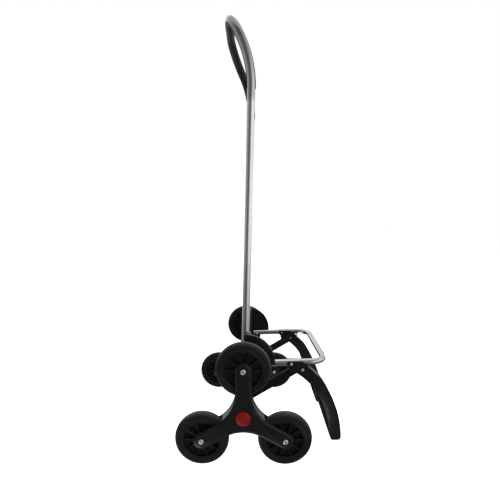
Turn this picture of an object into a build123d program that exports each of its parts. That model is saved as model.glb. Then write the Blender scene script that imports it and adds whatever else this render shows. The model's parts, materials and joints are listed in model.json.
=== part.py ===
"""Stair-climbing shopping trolley chassis, without its bag.

A bent tube frame with a padded loop handle stands on two three-wheeled stars that turn on one axle.
A tubular platform hinges on the side brackets, and two legs and two struts fold with it.
Millimetres, +Z up, +X to the platform side, +Y to the trolley's left. The origin is on the ground,
under the middle of the trolley's outer box.
"""

import os
from math import acos, cos, degrees, radians, sin, sqrt, tan

from build123d import *

os.makedirs("parts", exist_ok=True)

# Wheels
WHEEL_DIAMETER = 125.0
TYRE_WIDTH = 28.0
TYRE_SHOULDER = 6.5
TYRE_SEAT_CHAMFER = 2.0
RIM_DIAMETER = 94.0
RIM_WIDTH = 24.0
RIM_WALL = 5.0
WHEEL_HUB_DIAMETER = 25.0
WHEEL_WEB = 5.0
SPOKE_COUNT = 10
SPOKE_WIDTH = 3.2
SPOKE_DEPTH = 20.0
WHEEL_SIDE_PLAY = 0.5

# Stars
WHEELS_PER_STAR = 3
STAR_RADIUS = 110.5
WHEEL_TRACK = 430.0
STAR_GAP = 30.0
STAR_PLATE = 4.5
STAR_ARM_WIDTH = 37.0
STAR_WAIST = 34.3
STAR_WALL = 3.5
STAR_WALL_TYRE_GAP = 6.0
STAR_SLOPE_WIDTH = 5.5
STAR_SLOPE_DEPTH = 2.2
HUB_BOSS_DIAMETER = 38.0
HUB_RECESS_DIAMETER = 28.0
HUB_RECESS_DEPTH = 8.0

# Wheel bolts
BOLT_DIAMETER = 6.0
BOLT_HEAD_DIAMETER = 11.6
BOLT_HEAD_HEIGHT = 3.1
BOLT_TAIL = 1.5
NUT_ACROSS_FLATS = 10.0
NUT_HEIGHT = 5.0
SLEEVE_DIAMETER = 11.0

# Hub caps
CAP_DIAMETER = 34.0
CAP_HEIGHT = 4.0
CAP_DOME = 1.6
CAP_SKIRT_LENGTH = 4.5
CAP_SKIRT_WALL = 1.2

# Axle
AXLE_DIAMETER = 12.0
AXLE_END_INSET = 3.5
AXLE_END_CHAMFER = 1.0
AXLE_SLEEVE_DIAMETER = 18.0
SPACER_DIAMETER = 20.0
RETAINER_DIAMETER = 22.0
RETAINER_THICKNESS = 1.5

# Handle frame
FRAME_TUBE_DIAMETER = 18.5
FRAME_TUBE_WALL = 1.5
FRAME_FOOT_Z = 150.0
FRAME_LEAN = 1.33
FRAME_TAPER = 3.34
BEND_START_Z = 850.5
BEND_RADIUS = 241.0
BEND_ANGLE = 27.0
CORNER_RADIUS = 70.5
GRIP_THICKNESS = 1.2
GRIP_COVER = 190.0

# Platform
PLATFORM_HALF_WIDTH = 144.5
PLATFORM_TUBE_DIAMETER = 16.0
PLATFORM_TUBE_WALL = 1.3
PLATFORM_TILT = 2.06
PLATFORM_LENGTH = 163.4
PLATFORM_TAIL = 10.0
PLATFORM_CORNER = 38.0
HINGE_X = 35.0
HINGE_Z = 216.0
HINGE_PIN_DIAMETER = 6.0
HINGE_PIN_HEAD_DIAMETER = 9.0
HINGE_PIN_HEAD = 2.5
HINGE_PIN_RIVET_DIAMETER = 8.0
HINGE_PIN_RIVET = 1.5

# Side brackets
GUARD_RADIUS = 68.0
GUARD_CENTRE_X = 6.0
GUARD_CENTRE_Z = 226.0
GUARD_REAR_X = 1.0
GUARD_BOTTOM_Z = 221.0
GUARD_PLATE = 4.0
GUARD_RIM_WIDTH = 4.0
GUARD_RIM_DEPTH = 6.0
BRACKET_OVERHANG = 21.5
COLLAR_WALL = 4.2
COLLAR_BOTTOM_Z = 204.0
COLLAR_TOP_Z = 292.0
COLLAR_CORNER = 4.0
COLLAR_ROUNDING = 2.5
ARM_KNEE_X = 20.0
ARM_KNEE_Z = 165.0
BLOCK_FRONT_X = 46.0
BLOCK_BOTTOM_Z = 193.0
ARM_OVERHANG = 17.5
AXLE_BOSS_DIAMETER = 30.0
FRAME_SCREW_Z = 268.0
FRAME_SCREW_DIAMETER = 4.0
FRAME_SCREW_LENGTH = 30.0
SCREW_HEAD_DIAMETER = 6.8
SCREW_HEAD_HEIGHT = 2.4

# Legs
LEG_PIVOT_DISTANCE = 79.3
STRUT_PIVOT_DX = 27.3
STRUT_PIVOT_DZ = -14.7
LEG_CHEEK = 4.1
LEG_EYE_RADIUS = 10.5
LEG_SADDLE_RISE = 6.0
LEG_REACH = 249.5
LEG_HIP_X = 187.5
LEG_HIP_Z = 182.0
LEG_SHIN_SETBACK = 20.8
LEG_SHIN_Z = 102.4
LEG_FOOT_LENGTH = 24.7
LEG_TOE_RADIUS = 9.0
LEG_SOLE_RADIUS = 5.0
LEG_KINK_X = 171.0
LEG_KINK_Z = 154.0
LEG_ARCH_X = 150.5
LEG_ARCH_Z = 177.7
LEG_CROTCH_X = 125.3
LEG_CROTCH_Z = 196.4
LEG_HEEL_INSET = 2.0
LEG_SADDLE_LENGTH = 27.0
LEG_LEAN_Z = 178.0
LEG_LEAN_IN = 35.0
SCOOP_LENGTH = 122.0
SCOOP_WIDTH = 13.5
SCOOP_DEPTH = 6.0
SCOOP_RIM = 4.0
SCOOP_Z = 86.0
PIVOT_BOLT_DIAMETER = 4.0
PIVOT_NUT_DIAMETER = 8.0
PIVOT_NUT_HEIGHT = 3.0

# Struts
STRUT_WIDTH = 21.0
STRUT_TIP_WIDTH = 12.0
STRUT_THICKNESS = 5.0
STRUT_EYE_DIAMETER = 25.0
STRUT_SLOT_TRAVEL = 18.0
STRUT_POCKET_WIDTH = 11.0
STRUT_POCKET_DEPTH = 1.2
STRUT_POCKET_MARGIN = 22.0

# Fits and clearances
RUNNING_FIT = 0.05
SIDE_GAP = 0.4
SLOT_FIT = 0.8
SWING_GAP = 0.4

# Sizes that follow from the driving dimensions
WHEEL_RADIUS = WHEEL_DIAMETER / 2
HALF_PITCH = 180 / WHEELS_PER_STAR
AXLE_Z = WHEEL_RADIUS + STAR_RADIUS * cos(radians(HALF_PITCH))
REAR_REACH = STAR_RADIUS * sin(radians(HALF_PITCH)) + WHEEL_RADIUS
AXLE_X = (REAR_REACH - LEG_REACH) / 2
WHEEL_Y = WHEEL_TRACK / 2
STAR_INNER_Y = WHEEL_Y - STAR_GAP / 2 - STAR_PLATE
STAR_OUTER_Y = WHEEL_Y + STAR_GAP / 2 + STAR_PLATE
WHEEL_ANGLES = [90 + 2 * HALF_PITCH * n for n in range(WHEELS_PER_STAR)]
WHEEL_PLACES = ["upper", "rear", "front"]
WHEEL_CENTRES = [
    (STAR_RADIUS * cos(radians(angle)), AXLE_Z + STAR_RADIUS * sin(radians(angle)))
    for angle in WHEEL_ANGLES
]
TUBE_RADIUS = FRAME_TUBE_DIAMETER / 2
PLATFORM_RADIUS = PLATFORM_TUBE_DIAMETER / 2
CHEEK_INNER_Y = PLATFORM_HALF_WIDTH - PLATFORM_RADIUS - SIDE_GAP
CHEEK_OUTER_Y = PLATFORM_HALF_WIDTH + PLATFORM_RADIUS + SIDE_GAP
LEG_INNER_Y = CHEEK_INNER_Y - LEG_CHEEK
LEG_OUTER_Y = CHEEK_OUTER_Y + LEG_CHEEK
ARM_OUTER_Y = PLATFORM_HALF_WIDTH + ARM_OVERHANG
BRACKET_OUTER_Y = PLATFORM_HALF_WIDTH + BRACKET_OVERHANG
STRUT_OUTER_Y = LEG_INNER_Y - SIDE_GAP
STRUT_INNER_Y = STRUT_OUTER_Y - STRUT_THICKNESS
LEG_PIVOT_X = HINGE_X + LEG_PIVOT_DISTANCE * cos(radians(PLATFORM_TILT))
LEG_PIVOT_Z = HINGE_Z + LEG_PIVOT_DISTANCE * sin(radians(PLATFORM_TILT))
STRUT_PIVOT_X = LEG_PIVOT_X + STRUT_PIVOT_DX
STRUT_PIVOT_Z = LEG_PIVOT_Z + STRUT_PIVOT_DZ
STRUT_VECTOR = Vector(STRUT_PIVOT_X, 0, STRUT_PIVOT_Z - AXLE_Z)
LEG_SHIN_X = LEG_REACH - LEG_SHIN_SETBACK
LEG_FOOT_REAR_X = LEG_REACH - LEG_FOOT_LENGTH


def side_plane(y):
    """Plane square to Y, facing the trolley's right, with the axle at u = 0 and the ground at v = 0."""
    return Plane(origin=(AXLE_X, y, 0), x_dir=(1, 0, 0), z_dir=(0, -1, 0))


def axial_plane(x, y, z):
    """Plane through a line parallel to Y: u is the distance from that line, v runs along it."""
    return Plane(origin=(AXLE_X + x, y, z), x_dir=(0, 0, 1), z_dir=(-1, 0, 0))


def cross_axis(x, z):
    """Line parallel to Y at the given distance in front of the axle and height."""
    return Axis((AXLE_X + x, 0, z), (0, 1, 0))


def save(builder, name):
    """Label a finished piece and write it as STEP."""
    builder.part.label = name
    export_step(builder.part, f"parts/{name}.step")


def save_pair(right, name):
    """Write a right-hand piece and its mirror image on the left."""
    save(right, f"right_{name}")
    with BuildPart() as left:
        mirror(right.part, about=Plane.XZ)
    save(left, f"left_{name}")


# Tyres and spoked rims, three on each star
for side, wheel_y in (("right", -WHEEL_Y), ("left", WHEEL_Y)):
    for place, (wheel_x, wheel_z) in zip(WHEEL_PLACES, WHEEL_CENTRES):
        section = axial_plane(wheel_x, wheel_y, wheel_z)
        spin_axis = cross_axis(wheel_x, wheel_z)
        rim_radius = RIM_DIAMETER / 2
        shoulder_radius = WHEEL_RADIUS - TYRE_SHOULDER

        with BuildPart() as tyre:
            with BuildSketch(section):
                with BuildLine():
                    half = TYRE_WIDTH / 2
                    Polyline(
                        (shoulder_radius, -half),
                        (rim_radius + TYRE_SEAT_CHAMFER, -half),
                        (rim_radius, TYRE_SEAT_CHAMFER - half),
                        (rim_radius, half - TYRE_SEAT_CHAMFER),
                        (rim_radius + TYRE_SEAT_CHAMFER, half),
                        (shoulder_radius, half),
                    )
                    ThreePointArc((shoulder_radius, half), (WHEEL_RADIUS, 0), (shoulder_radius, -half))
                make_face()
            revolve(axis=spin_axis)
        save(tyre, f"{side}_{place}_tyre")

        with BuildPart() as rim:
            with BuildSketch(section):
                hub_radius = WHEEL_HUB_DIAMETER / 2
                bore_radius = SLEEVE_DIAMETER / 2 + RUNNING_FIT
                with Locations(((hub_radius + bore_radius) / 2, 0)):
                    Rectangle(hub_radius - bore_radius, STAR_GAP - 2 * WHEEL_SIDE_PLAY)
                with Locations(((rim_radius + hub_radius) / 2 - RIM_WALL / 2, 0)):
                    Rectangle(rim_radius - hub_radius, WHEEL_WEB)
                with Locations((rim_radius - RIM_WALL / 2, 0)):
                    Rectangle(RIM_WALL, RIM_WIDTH)
            revolve(axis=spin_axis)
            with BuildSketch(side_plane(wheel_y)):
                with Locations((wheel_x, wheel_z)):
                    spoke_length = rim_radius - RIM_WALL / 2 - hub_radius + SPOKE_WIDTH / 2
                    with PolarLocations(hub_radius - SPOKE_WIDTH / 2 + spoke_length / 2, SPOKE_COUNT):
                        Rectangle(spoke_length, SPOKE_WIDTH)
            extrude(amount=SPOKE_DEPTH / 2, both=True)
        save(rim, f"{side}_{place}_rim")


def star_outline(inset=0.0):
    """Sketch of the three-armed star about the axle, drawn in by an inset."""
    arm_half = STAR_ARM_WIDTH / 2 - inset
    waist = STAR_WAIST - inset
    spread = sin(radians(HALF_PITCH))
    scallop = (waist - arm_half / spread) / (1 / spread - 1)
    root = (scallop + arm_half) / tan(radians(HALF_PITCH))
    with BuildSketch() as outline:
        with BuildLine():
            for angle in WHEEL_ANGLES:
                along = Vector(1, 0).rotate(Axis.Z, angle)
                across = Vector(0, 1).rotate(Axis.Z, angle)
                bisector = Vector(1, 0).rotate(Axis.Z, angle + HALF_PITCH)
                next_along = Vector(1, 0).rotate(Axis.Z, angle + 2 * HALF_PITCH)
                next_across = Vector(0, 1).rotate(Axis.Z, angle + 2 * HALF_PITCH)
                hub = Vector(0, AXLE_Z)
                near_side = hub + along * STAR_RADIUS - across * arm_half
                far_side = hub + along * STAR_RADIUS + across * arm_half
                Line(hub + along * root - across * arm_half, near_side)
                ThreePointArc(near_side, hub + along * (STAR_RADIUS + arm_half), far_side)
                Line(far_side, hub + along * root + across * arm_half)
                ThreePointArc(
                    hub + along * root + across * arm_half,
                    hub + bisector * waist,
                    hub + next_along * root - next_across * arm_half,
                )
        make_face()
    return outline.sketch


def star_half(plate_y, outward):
    """Model one moulded half of the right star: a plate with sloped edges, scalloped walls and a hub boss.

    The plate lies from plate_y outwards (or inwards for the inner half), and the walls reach the
    middle of the gap, where the two halves meet.
    """
    with BuildPart() as half:
        with BuildSketch(side_plane(plate_y)):
            add(star_outline())
        extrude(amount=STAR_PLATE * outward)
        plate_face = half.faces().sort_by(Axis.Y)[0 if outward > 0 else -1]
        chamfer(plate_face.edges(), STAR_SLOPE_WIDTH, STAR_SLOPE_DEPTH, reference=plate_face)
        with BuildSketch(side_plane(plate_y)):
            add(star_outline())
            add(star_outline(STAR_WALL), mode=Mode.SUBTRACT)
            with Locations(*WHEEL_CENTRES):
                Circle(WHEEL_RADIUS + STAR_WALL_TYRE_GAP, mode=Mode.SUBTRACT)
            with Locations((0, AXLE_Z)):
                Circle(HUB_BOSS_DIAMETER / 2)
        extrude(amount=-STAR_GAP / 2 * outward)
        with BuildSketch(side_plane(plate_y)):
            with Locations(*WHEEL_CENTRES):
                Circle(BOLT_DIAMETER / 2 + RUNNING_FIT)
            with Locations((0, AXLE_Z)):
                Circle(AXLE_DIAMETER / 2 + RUNNING_FIT)
        extrude(amount=STAR_GAP, both=True, mode=Mode.SUBTRACT)
    return half


# Star halves: the outer one has the recess under the hub cap
star_outer = star_half(-(WHEEL_Y + STAR_GAP / 2), 1)
with BuildPart() as star_outer_plate:
    add(star_outer.part)
    with BuildSketch(side_plane(-STAR_OUTER_Y)):
        with Locations((0, AXLE_Z)):
            Circle(HUB_RECESS_DIAMETER / 2)
    extrude(amount=-HUB_RECESS_DEPTH, mode=Mode.SUBTRACT)
save_pair(star_outer_plate, "star_outer_plate")

star_inner_plate = star_half(-(WHEEL_Y - STAR_GAP / 2), -1)
save_pair(star_inner_plate, "star_inner_plate")

# Wheel sleeves, clamped between the star halves
with BuildPart() as wheel_sleeves:
    with BuildSketch(side_plane(-(WHEEL_Y - STAR_GAP / 2))):
        with Locations(*WHEEL_CENTRES):
            Circle(SLEEVE_DIAMETER / 2)
            Circle(BOLT_DIAMETER / 2 + RUNNING_FIT, mode=Mode.SUBTRACT)
    extrude(amount=STAR_GAP)
save_pair(wheel_sleeves, "wheel_sleeves")

# Wheel bolts with pan heads outside, and hexagon nuts inside
with BuildPart() as wheel_bolts:
    with BuildSketch(side_plane(-(STAR_INNER_Y - NUT_HEIGHT - BOLT_TAIL))):
        with Locations(*WHEEL_CENTRES):
            Circle(BOLT_DIAMETER / 2)
    extrude(amount=STAR_OUTER_Y - STAR_INNER_Y + NUT_HEIGHT + BOLT_TAIL)
    with BuildSketch(side_plane(-STAR_OUTER_Y)):
        with Locations(*WHEEL_CENTRES):
            Circle(BOLT_HEAD_DIAMETER / 2)
    extrude(amount=BOLT_HEAD_HEIGHT)
    fillet(wheel_bolts.faces().sort_by(Axis.Y)[:WHEELS_PER_STAR].edges(), BOLT_HEAD_HEIGHT / 2)
save_pair(wheel_bolts, "wheel_bolts")

with BuildPart() as wheel_nuts:
    with BuildSketch(side_plane(-(STAR_INNER_Y - NUT_HEIGHT))):
        with Locations(*WHEEL_CENTRES):
            RegularPolygon(NUT_ACROSS_FLATS / 2, 6, major_radius=False)
            Circle(BOLT_DIAMETER / 2 + RUNNING_FIT, mode=Mode.SUBTRACT)
    extrude(amount=NUT_HEIGHT)
save_pair(wheel_nuts, "wheel_nuts")

# Domed hub cap with a skirt that plugs into the recess
with BuildPart() as hub_cap:
    with BuildSketch(axial_plane(0, -STAR_OUTER_Y, AXLE_Z)):
        with BuildLine():
            cap_radius = CAP_DIAMETER / 2
            skirt_outer = HUB_RECESS_DIAMETER / 2 - SIDE_GAP
            skirt_inner = skirt_outer - CAP_SKIRT_WALL
            edge_height = CAP_HEIGHT - CAP_DOME
            crown = Vector(0, -CAP_HEIGHT)
            shoulder = Vector(cap_radius, -edge_height)
            TangentArc(crown, shoulder, tangent=(1, 0))
            Polyline(
                shoulder,
                (cap_radius, 0),
                (skirt_outer, 0),
                (skirt_outer, CAP_SKIRT_LENGTH),
                (skirt_inner, CAP_SKIRT_LENGTH),
                (skirt_inner, 0),
                (0, 0),
                crown,
            )
        make_face()
    revolve(axis=cross_axis(0, AXLE_Z))
save_pair(hub_cap, "hub_cap")

# Axle rod, its middle sleeve, the spacers beside the stars and the retaining rings on its ends
axle_half = STAR_OUTER_Y - AXLE_END_INSET
with BuildPart() as axle:
    with BuildSketch(side_plane(0)):
        with Locations((0, AXLE_Z)):
            Circle(AXLE_DIAMETER / 2)
    extrude(amount=axle_half, both=True)
    chamfer(axle.edges(), AXLE_END_CHAMFER)
save(axle, "axle")

with BuildPart() as axle_sleeve:
    with BuildSketch(side_plane(0)):
        with Locations((0, AXLE_Z)):
            Circle(AXLE_SLEEVE_DIAMETER / 2)
            Circle(AXLE_DIAMETER / 2 + RUNNING_FIT, mode=Mode.SUBTRACT)
    extrude(amount=STRUT_INNER_Y - SIDE_GAP, both=True)
save(axle_sleeve, "axle_sleeve")

with BuildPart() as axle_spacer:
    with BuildSketch(side_plane(-BRACKET_OUTER_Y)):
        with Locations((0, AXLE_Z)):
            Circle(SPACER_DIAMETER / 2)
            Circle(AXLE_DIAMETER / 2 + RUNNING_FIT, mode=Mode.SUBTRACT)
    extrude(amount=STAR_INNER_Y - BRACKET_OUTER_Y - SIDE_GAP)
save_pair(axle_spacer, "axle_spacer")

with BuildPart() as axle_retainer:
    with BuildSketch(side_plane(-(STAR_OUTER_Y - HUB_RECESS_DEPTH + SIDE_GAP))):
        with Locations((0, AXLE_Z)):
            Circle(RETAINER_DIAMETER / 2)
            Circle(AXLE_DIAMETER / 2 + RUNNING_FIT, mode=Mode.SUBTRACT)
    extrude(amount=RETAINER_THICKNESS)
save_pair(axle_retainer, "axle_retainer")

# Handle frame: two leaning, converging legs, a bend back and a looped top
lean_slope = tan(radians(FRAME_LEAN))
taper_slope = tan(radians(FRAME_TAPER))


def leg_axis_point(z):
    """Point of the right frame leg's centre line at a height."""
    x = AXLE_X + (z - AXLE_Z) * lean_slope
    return Vector(x, -PLATFORM_HALF_WIDTH + (z - HINGE_Z) * taper_slope, z)


def arc_point(start, tangent, normal, radius, angle):
    """Point after turning by an angle along an arc that leaves start along the tangent."""
    turn = radians(angle)
    return start + tangent * (radius * sin(turn)) + normal * (radius * (1 - cos(turn)))


def mirrored(point):
    """The same point on the other side of the trolley."""
    return Vector(point.X, -point.Y, point.Z)


frame_foot = leg_axis_point(FRAME_FOOT_Z)
bend_start = leg_axis_point(BEND_START_Z)
leg_direction = (bend_start - frame_foot).normalized()
rearward = Vector(-1, 0, 0)
bend_normal = (rearward - leg_direction * rearward.dot(leg_direction)).normalized()
bend_end = arc_point(bend_start, leg_direction, bend_normal, BEND_RADIUS, BEND_ANGLE)
bend_middle = arc_point(bend_start, leg_direction, bend_normal, BEND_RADIUS, BEND_ANGLE / 2)
corner_tangent = leg_direction * cos(radians(BEND_ANGLE)) + bend_normal * sin(radians(BEND_ANGLE))
leftward = Vector(0, 1, 0)
corner_normal = (leftward - corner_tangent * leftward.dot(corner_tangent)).normalized()
corner_angle = degrees(acos(leftward.dot(corner_tangent)))
corner_end = arc_point(bend_end, corner_tangent, corner_normal, CORNER_RADIUS, corner_angle)
corner_middle = arc_point(bend_end, corner_tangent, corner_normal, CORNER_RADIUS, corner_angle / 2)


def loop_line():
    """Draw the handle loop's centre line, from the start of the right bend to that of the left."""
    ThreePointArc(bend_start, bend_middle, bend_end)
    ThreePointArc(bend_end, corner_middle, corner_end)
    Line(corner_end, mirrored(corner_end))
    ThreePointArc(mirrored(corner_end), mirrored(corner_middle), mirrored(bend_end))
    ThreePointArc(mirrored(bend_end), mirrored(bend_middle), mirrored(bend_start))


with BuildPart() as handle_frame_tube:
    with BuildLine() as frame_line:
        Line(frame_foot, bend_start)
        loop_line()
        Line(mirrored(bend_start), mirrored(frame_foot))
    with BuildSketch(Plane(origin=frame_foot, x_dir=(1, 0, 0), z_dir=leg_direction)):
        Circle(TUBE_RADIUS)
        Circle(TUBE_RADIUS - FRAME_TUBE_WALL, mode=Mode.SUBTRACT)
    sweep(path=frame_line.wire())
    screw_x = (FRAME_SCREW_Z - AXLE_Z) * lean_slope
    with BuildSketch(side_plane(0)):
        with Locations((screw_x, FRAME_SCREW_Z)):
            Circle(FRAME_SCREW_DIAMETER / 2 + RUNNING_FIT)
    extrude(amount=BRACKET_OUTER_Y, both=True, mode=Mode.SUBTRACT)
save(handle_frame_tube, "handle_frame_tube")

# Soft liner on the inner side of the handle loop
with BuildPart() as handle_grip:
    with BuildLine() as grip_line:
        loop_line()
    inward = (leftward - leg_direction * leftward.dot(leg_direction)).normalized()
    with BuildSketch(Plane(origin=bend_start, x_dir=inward, z_dir=leg_direction)):
        with BuildLine():
            half_cover = GRIP_COVER / 2
            lining = TUBE_RADIUS + RUNNING_FIT
            surface = lining + GRIP_THICKNESS
            outer = CenterArc((0, 0), surface, -half_cover, GRIP_COVER)
            inner = CenterArc((0, 0), lining, -half_cover, GRIP_COVER)
            Line(outer @ 0, inner @ 0)
            Line(outer @ 1, inner @ 1)
        make_face()
    sweep(path=grip_line.wire())
save(handle_grip, "handle_grip")

# Side bracket: tube collar, wheel guard, hinge seat and the arm down to the axle
hinge_top_z = GUARD_BOTTOM_Z + GUARD_RIM_WIDTH
collar_front_x = (COLLAR_TOP_Z - AXLE_Z) * lean_slope + TUBE_RADIUS + COLLAR_WALL
collar_inner_y = -leg_axis_point(COLLAR_TOP_Z).Y - TUBE_RADIUS - COLLAR_WALL
with BuildPart() as collar:
    with BuildSketch(Plane.XY.offset(COLLAR_BOTTOM_Z)) as collar_section:
        collar_x = AXLE_X + (GUARD_REAR_X + collar_front_x) / 2
        with Locations((collar_x, -(BRACKET_OUTER_Y + collar_inner_y) / 2)):
            Rectangle(collar_front_x - GUARD_REAR_X, BRACKET_OUTER_Y - collar_inner_y)
        fillet(collar_section.vertices().group_by(Axis.X)[-1].sort_by(Axis.Y)[-1], COLLAR_CORNER)
    extrude(amount=COLLAR_TOP_Z - COLLAR_BOTTOM_Z)
    fillet(collar.faces().sort_by(Axis.Z)[-1].edges().sort_by(Axis.Y)[1:], COLLAR_ROUNDING)
with BuildPart() as side_bracket:
    add(collar.part)
    with BuildSketch(side_plane(-BRACKET_OUTER_Y)) as guard_face:
        with BuildLine():
            guard_top_z = GUARD_CENTRE_Z + sqrt(GUARD_RADIUS**2 - (GUARD_CENTRE_X - GUARD_REAR_X) ** 2)
            guard_front_x = GUARD_CENTRE_X + sqrt(GUARD_RADIUS**2 - (GUARD_CENTRE_Z - GUARD_BOTTOM_Z) ** 2)
            arc_x = GUARD_CENTRE_X + GUARD_RADIUS * cos(radians(45))
            arc_z = GUARD_CENTRE_Z + GUARD_RADIUS * sin(radians(45))
            Polyline(
                (GUARD_REAR_X, guard_top_z),
                (GUARD_REAR_X, GUARD_BOTTOM_Z),
                (guard_front_x, GUARD_BOTTOM_Z),
            )
            ThreePointArc((guard_front_x, GUARD_BOTTOM_Z), (arc_x, arc_z), (GUARD_REAR_X, guard_top_z))
        make_face()
    extrude(amount=GUARD_PLATE)
    with BuildSketch(side_plane(-BRACKET_OUTER_Y)):
        add(guard_face.sketch_local)
        offset(guard_face.sketch_local, amount=-GUARD_RIM_WIDTH, mode=Mode.SUBTRACT)
    extrude(amount=-GUARD_RIM_DEPTH)
    with BuildSketch(side_plane(-LEG_INNER_Y)):
        with BuildLine():
            boss_radius = AXLE_BOSS_DIAMETER / 2
            block_front = (BLOCK_FRONT_X, BLOCK_BOTTOM_Z)
            ThreePointArc((boss_radius, AXLE_Z), (ARM_KNEE_X, ARM_KNEE_Z), block_front)
            Polyline(
                block_front,
                (BLOCK_FRONT_X, hinge_top_z),
                (GUARD_REAR_X, hinge_top_z),
                (GUARD_REAR_X, COLLAR_BOTTOM_Z),
                (-boss_radius, COLLAR_BOTTOM_Z - boss_radius),
                (-boss_radius, AXLE_Z),
            )
            ThreePointArc((-boss_radius, AXLE_Z), (0, AXLE_Z - boss_radius), (boss_radius, AXLE_Z))
        make_face()
    extrude(amount=ARM_OUTER_Y - LEG_INNER_Y)
    with BuildSketch(side_plane(-ARM_OUTER_Y)):
        with Locations((0, AXLE_Z)):
            Circle(boss_radius)
        with Locations(((GUARD_REAR_X + BLOCK_FRONT_X) / 2, (BLOCK_BOTTOM_Z + hinge_top_z) / 2)):
            Rectangle(BLOCK_FRONT_X - GUARD_REAR_X, hinge_top_z - BLOCK_BOTTOM_Z)
    extrude(amount=BRACKET_OUTER_Y - ARM_OUTER_Y)
    swing_radius = sqrt(PLATFORM_TAIL**2 + PLATFORM_RADIUS**2) + SWING_GAP
    with BuildSketch(side_plane(-LEG_INNER_Y)):
        seat_rear_x = HINGE_X - swing_radius
        seat_bottom_z = HINGE_Z - swing_radius
        with Locations(((seat_rear_x + GUARD_RADIUS) / 2, (seat_bottom_z + COLLAR_TOP_Z) / 2)):
            Rectangle(GUARD_RADIUS - seat_rear_x, COLLAR_TOP_Z - seat_bottom_z)
    extrude(amount=CHEEK_OUTER_Y - LEG_INNER_Y, mode=Mode.SUBTRACT)
    with BuildSketch(Plane(origin=frame_foot, x_dir=(1, 0, 0), z_dir=leg_direction)):
        Circle(TUBE_RADIUS + RUNNING_FIT)
    extrude(amount=BEND_START_Z, mode=Mode.SUBTRACT)
    with BuildSketch(side_plane(0)):
        with Locations((0, AXLE_Z)):
            Circle(AXLE_DIAMETER / 2 + RUNNING_FIT)
        with Locations((HINGE_X, HINGE_Z)):
            Circle(HINGE_PIN_DIAMETER / 2 + RUNNING_FIT)
        with Locations((screw_x, FRAME_SCREW_Z)):
            Circle(FRAME_SCREW_DIAMETER / 2 + RUNNING_FIT)
    extrude(amount=BRACKET_OUTER_Y, mode=Mode.SUBTRACT)
save_pair(side_bracket, "side_bracket")

# Screw through each collar and frame leg
with BuildPart() as frame_screw:
    with BuildSketch(side_plane(-collar_inner_y)):
        with Locations((screw_x, FRAME_SCREW_Z)):
            Circle(FRAME_SCREW_DIAMETER / 2)
    extrude(amount=FRAME_SCREW_LENGTH)
    with BuildSketch(side_plane(-collar_inner_y)):
        with Locations((screw_x, FRAME_SCREW_Z)):
            Circle(SCREW_HEAD_DIAMETER / 2)
    extrude(amount=-SCREW_HEAD_HEIGHT)
save_pair(frame_screw, "frame_screw")

# Hinge pin of the platform, riveted through the bracket's cheek with a head on each end
with BuildPart() as hinge_pin:
    with BuildSketch(side_plane(-CHEEK_INNER_Y)):
        with Locations((HINGE_X, HINGE_Z)):
            Circle(HINGE_PIN_DIAMETER / 2)
    extrude(amount=BRACKET_OUTER_Y - CHEEK_INNER_Y)
    with BuildSketch(side_plane(-BRACKET_OUTER_Y)):
        with Locations((HINGE_X, HINGE_Z)):
            Circle(HINGE_PIN_HEAD_DIAMETER / 2)
    extrude(amount=HINGE_PIN_HEAD)
    with BuildSketch(side_plane(-CHEEK_INNER_Y)):
        with Locations((HINGE_X, HINGE_Z)):
            Circle(HINGE_PIN_RIVET_DIAMETER / 2)
    extrude(amount=-HINGE_PIN_RIVET)
save_pair(hinge_pin, "hinge_pin")

# Platform: one U-bent tube on a slight tilt
tilt = radians(PLATFORM_TILT)
platform_plane = Plane(
    origin=(AXLE_X + HINGE_X, 0, HINGE_Z),
    x_dir=(cos(tilt), 0, sin(tilt)),
    z_dir=(-sin(tilt), 0, cos(tilt)),
)
with BuildPart() as platform_tube:
    with BuildLine(platform_plane) as platform_line:
        FilletPolyline(
            (-PLATFORM_TAIL, -PLATFORM_HALF_WIDTH),
            (PLATFORM_LENGTH, -PLATFORM_HALF_WIDTH),
            (PLATFORM_LENGTH, PLATFORM_HALF_WIDTH),
            (-PLATFORM_TAIL, PLATFORM_HALF_WIDTH),
            radius=PLATFORM_CORNER,
        )
    with BuildSketch(Plane(origin=platform_line.line @ 0, z_dir=platform_line.line % 0)):
        Circle(PLATFORM_RADIUS)
        Circle(PLATFORM_RADIUS - PLATFORM_TUBE_WALL, mode=Mode.SUBTRACT)
    sweep(path=platform_line.wire())
    with BuildSketch(side_plane(0)):
        with Locations((HINGE_X, HINGE_Z)):
            Circle(HINGE_PIN_DIAMETER / 2 + RUNNING_FIT)
        with Locations((LEG_PIVOT_X, LEG_PIVOT_Z)):
            Circle(PIVOT_BOLT_DIAMETER / 2 + RUNNING_FIT)
    extrude(amount=BRACKET_OUTER_Y, both=True, mode=Mode.SUBTRACT)
save(platform_tube, "platform_tube")

# Leg: a forked saddle over the platform tube and a curved shank that leans in to the foot, with a
# shallow scoop behind a rim on the rear of its outer face
saddle_z = LEG_PIVOT_Z + LEG_SADDLE_RISE
saddle_rear_x = LEG_PIVOT_X - sqrt(LEG_EYE_RADIUS**2 - LEG_SADDLE_RISE**2)
saddle_front_x = LEG_PIVOT_X + LEG_SADDLE_LENGTH
lean_slope_in = LEG_LEAN_IN / LEG_LEAN_Z
outer_foot_y = LEG_LEAN_IN - LEG_OUTER_Y
rear_foot = Vector(AXLE_X + LEG_FOOT_REAR_X, outer_foot_y, 0)
rear_kink = Vector(AXLE_X + LEG_KINK_X, outer_foot_y - LEG_KINK_Z * lean_slope_in, LEG_KINK_Z)
outward = Vector(0, -1, -lean_slope_in).normalized()
scoop_back = (rear_foot - rear_kink).cross(outward).normalized()
scoop_middle = rear_foot + (rear_kink - rear_foot) * (SCOOP_Z / LEG_KINK_Z) - scoop_back * SCOOP_RIM
half_length = SCOOP_LENGTH / 2
centre_back = (half_length**2 - SCOOP_WIDTH**2) / (2 * SCOOP_WIDTH)
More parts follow.
